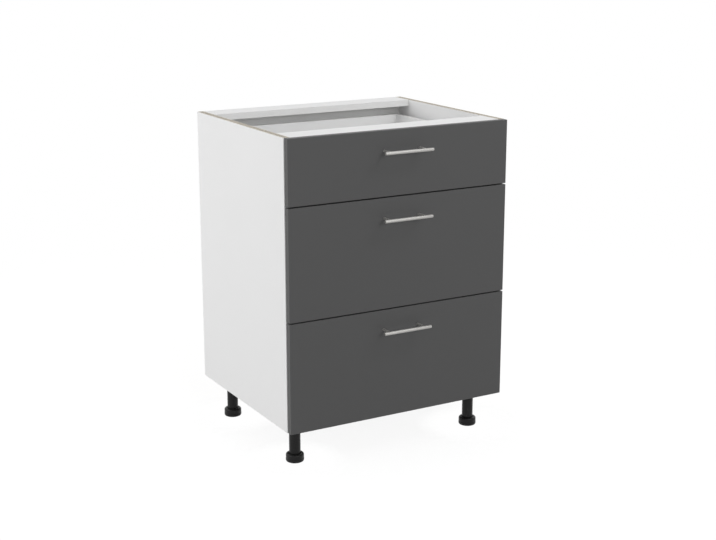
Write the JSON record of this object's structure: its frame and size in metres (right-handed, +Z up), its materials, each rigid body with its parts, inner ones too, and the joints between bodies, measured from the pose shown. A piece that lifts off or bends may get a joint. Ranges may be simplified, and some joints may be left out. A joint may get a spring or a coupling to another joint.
{
  "type": "base cabinet with drawers",
  "caption": "Kitchen base cabinet in white board with dark slab drawer fronts, bar handles, roller runners and black levelling legs.",
  "frame": {"origin": "on the floor, at the centre of the bounding box seen from above (handles to rear edge)", "axes": "+Z up; the drawer fronts face -Y and the drawers open towards -Y; +X to the right of someone who faces the fronts"},
  "size_m": [0.6, 0.5386, 0.8],
  "materials": {
    "white_board": "white melamine-faced chipboard, satin, with white edge band",
    "white_hardboard": "thin hardboard, lacquered white on the inner face and bare behind",
    "dark_front": "anthracite grey slab front, silk matt",
    "satin_steel": "satin brushed",
    "coated_steel": "white epoxy-coated sheet steel",
    "roller_plastic": "natural nylon",
    "black_plastic": "black moulded plastic, satin"
  },
  "bodies": {
    "carcass": {"side_left": "white_board", "side_right": "white_board", "bottom_panel": "white_board", "back_panel": "white_hardboard", "rail_front": "white_board", "rail_back": "white_board", "leg_socket_front_left": "black_plastic", "leg_tube_front_left": "black_plastic", "leg_socket_front_right": "black_plastic", "leg_tube_front_right": "black_plastic", "leg_socket_back_left": "black_plastic", "leg_tube_back_left": "black_plastic", "leg_socket_back_right": "black_plastic", "leg_tube_back_right": "black_plastic", "channel_bottom_left": "coated_steel", "channel_bottom_right": "coated_steel", "channel_middle_left": "coated_steel", "channel_middle_right": "coated_steel", "channel_top_left": "coated_steel", "channel_top_right": "coated_steel"},
    "drawer_bottom": {"drawer_bottom_front": "dark_front", "drawer_bottom_handle": "satin_steel", "drawer_bottom_side_left": "white_board", "drawer_bottom_side_right": "white_board", "drawer_bottom_back": "white_board", "drawer_bottom_base": "white_hardboard", "drawer_bottom_profile_left": "coated_steel", "drawer_bottom_profile_right": "coated_steel"},
    "channel_roller_bottom_left": {"channel_roller_bottom_left": "roller_plastic"},
    "drawer_bottom_roller_left": {"drawer_bottom_roller_left": "roller_plastic"},
    "channel_roller_bottom_right": {"channel_roller_bottom_right": "roller_plastic"},
    "drawer_bottom_roller_right": {"drawer_bottom_roller_right": "roller_plastic"},
    "drawer_middle": {"drawer_middle_front": "dark_front", "drawer_middle_handle": "satin_steel", "drawer_middle_side_left": "white_board", "drawer_middle_side_right": "white_board", "drawer_middle_back": "white_board", "drawer_middle_base": "white_hardboard", "drawer_middle_profile_left": "coated_steel", "drawer_middle_profile_right": "coated_steel"},
    "channel_roller_middle_left": {"channel_roller_middle_left": "roller_plastic"},
    "drawer_middle_roller_left": {"drawer_middle_roller_left": "roller_plastic"},
    "channel_roller_middle_right": {"channel_roller_middle_right": "roller_plastic"},
    "drawer_middle_roller_right": {"drawer_middle_roller_right": "roller_plastic"},
    "drawer_top": {"drawer_top_front": "dark_front", "drawer_top_handle": "satin_steel", "drawer_top_side_left": "white_board", "drawer_top_side_right": "white_board", "drawer_top_back": "white_board", "drawer_top_base": "white_hardboard", "drawer_top_profile_left": "coated_steel", "drawer_top_profile_right": "coated_steel"},
    "channel_roller_top_left": {"channel_roller_top_left": "roller_plastic"},
    "drawer_top_roller_left": {"drawer_top_roller_left": "roller_plastic"},
    "channel_roller_top_right": {"channel_roller_top_right": "roller_plastic"},
    "drawer_top_roller_right": {"drawer_top_roller_right": "roller_plastic"},
    "leg_foot_front_left": {"leg_foot_front_left": "black_plastic"},
    "leg_foot_front_right": {"leg_foot_front_right": "black_plastic"},
    "leg_foot_back_left": {"leg_foot_back_left": "black_plastic"},
    "leg_foot_back_right": {"leg_foot_back_right": "black_plastic"}
  },
  "joints": [
    {"name": "drawer_bottom_slide", "type": "slide", "parent": "carcass", "child": "drawer_bottom", "axis": [0, -1, 0], "range_m": [0, 0.345]},
    {"name": "channel_roller_bottom_left_spin", "type": "hinge", "parent": "carcass", "child": "channel_roller_bottom_left", "pos_m": [-0.2786, -0.19775, 0.1332], "axis": [1, 0, 0], "range_deg": [-5, 1985]},
    {"name": "drawer_bottom_roller_left_spin", "type": "hinge", "parent": "drawer_bottom", "child": "drawer_bottom_roller_left", "pos_m": [-0.2769, 0.21975, 0.1332], "axis": [1, 0, 0], "range_deg": [-5, 1985]},
    {"name": "channel_roller_bottom_right_spin", "type": "hinge", "parent": "carcass", "child": "channel_roller_bottom_right", "pos_m": [0.2786, -0.19775, 0.1332], "axis": [1, 0, 0], "range_deg": [-5, 1985]},
    {"name": "drawer_bottom_roller_right_spin", "type": "hinge", "parent": "drawer_bottom", "child": "drawer_bottom_roller_right", "pos_m": [0.2769, 0.21975, 0.1332], "axis": [1, 0, 0], "range_deg": [-5, 1985]},
    {"name": "drawer_middle_slide", "type": "slide", "parent": "carcass", "child": "drawer_middle", "axis": [0, -1, 0], "range_m": [0, 0.345]},
    {"name": "channel_roller_middle_left_spin", "type": "hinge", "parent": "carcass", "child": "channel_roller_middle_left", "pos_m": [-0.2786, -0.19775, 0.4052], "axis": [1, 0, 0], "range_deg": [-5, 1985]},
    {"name": "drawer_middle_roller_left_spin", "type": "hinge", "parent": "drawer_middle", "child": "drawer_middle_roller_left", "pos_m": [-0.2769, 0.21975, 0.4052], "axis": [1, 0, 0], "range_deg": [-5, 1985]},
    {"name": "channel_roller_middle_right_spin", "type": "hinge", "parent": "carcass", "child": "channel_roller_middle_right", "pos_m": [0.2786, -0.19775, 0.4052], "axis": [1, 0, 0], "range_deg": [-5, 1985]},
    {"name": "drawer_middle_roller_right_spin", "type": "hinge", "parent": "drawer_middle", "child": "drawer_middle_roller_right", "pos_m": [0.2769, 0.21975, 0.4052], "axis": [1, 0, 0], "range_deg": [-5, 1985]},
    {"name": "drawer_top_slide", "type": "slide", "parent": "carcass", "child": "drawer_top", "axis": [0, -1, 0], "range_m": [0, 0.345]},
    {"name": "channel_roller_top_left_spin", "type": "hinge", "parent": "carcass", "child": "channel_roller_top_left", "pos_m": [-0.2786, -0.19775, 0.6772], "axis": [1, 0, 0], "range_deg": [-5, 1985]},
    {"name": "drawer_top_roller_left_spin", "type": "hinge", "parent": "drawer_top", "child": "drawer_top_roller_left", "pos_m": [-0.2769, 0.21975, 0.6772], "axis": [1, 0, 0], "range_deg": [-5, 1985]},
    {"name": "channel_roller_top_right_spin", "type": "hinge", "parent": "carcass", "child": "channel_roller_top_right", "pos_m": [0.2786, -0.19775, 0.6772], "axis": [1, 0, 0], "range_deg": [-5, 1985]},
    {"name": "drawer_top_roller_right_spin", "type": "hinge", "parent": "drawer_top", "child": "drawer_top_roller_right", "pos_m": [0.2769, 0.21975, 0.6772], "axis": [1, 0, 0], "range_deg": [-5, 1985]},
    {"name": "leg_foot_front_left_level", "type": "slide", "parent": "carcass", "child": "leg_foot_front_left", "axis": [0, 0, -1], "range_m": [-0.003, 0.02]},
    {"name": "leg_foot_front_right_level", "type": "slide", "parent": "carcass", "child": "leg_foot_front_right", "axis": [0, 0, -1], "range_m": [-0.003, 0.02]},
    {"name": "leg_foot_back_left_level", "type": "slide", "parent": "carcass", "child": "leg_foot_back_left", "axis": [0, 0, -1], "range_m": [-0.003, 0.02]},
    {"name": "leg_foot_back_right_level", "type": "slide", "parent": "carcass", "child": "leg_foot_back_right", "axis": [0, 0, -1], "range_m": [-0.003, 0.02]}
  ],
  "couplings": [
    {"joint": "channel_roller_bottom_left_spin", "follows": "drawer_bottom_slide", "rad_per_m": 100},
    {"joint": "drawer_bottom_roller_left_spin", "follows": "drawer_bottom_slide", "rad_per_m": 100},
    {"joint": "channel_roller_bottom_right_spin", "follows": "drawer_bottom_slide", "rad_per_m": 100},
    {"joint": "drawer_bottom_roller_right_spin", "follows": "drawer_bottom_slide", "rad_per_m": 100},
    {"joint": "channel_roller_middle_left_spin", "follows": "drawer_middle_slide", "rad_per_m": 100},
    {"joint": "drawer_middle_roller_left_spin", "follows": "drawer_middle_slide", "rad_per_m": 100},
    {"joint": "channel_roller_middle_right_spin", "follows": "drawer_middle_slide", "rad_per_m": 100},
    {"joint": "drawer_middle_roller_right_spin", "follows": "drawer_middle_slide", "rad_per_m": 100},
    {"joint": "channel_roller_top_left_spin", "follows": "drawer_top_slide", "rad_per_m": 100},
    {"joint": "drawer_top_roller_left_spin", "follows": "drawer_top_slide", "rad_per_m": 100},
    {"joint": "channel_roller_top_right_spin", "follows": "drawer_top_slide", "rad_per_m": 100},
    {"joint": "drawer_top_roller_right_spin", "follows": "drawer_top_slide", "rad_per_m": 100}
  ]
}
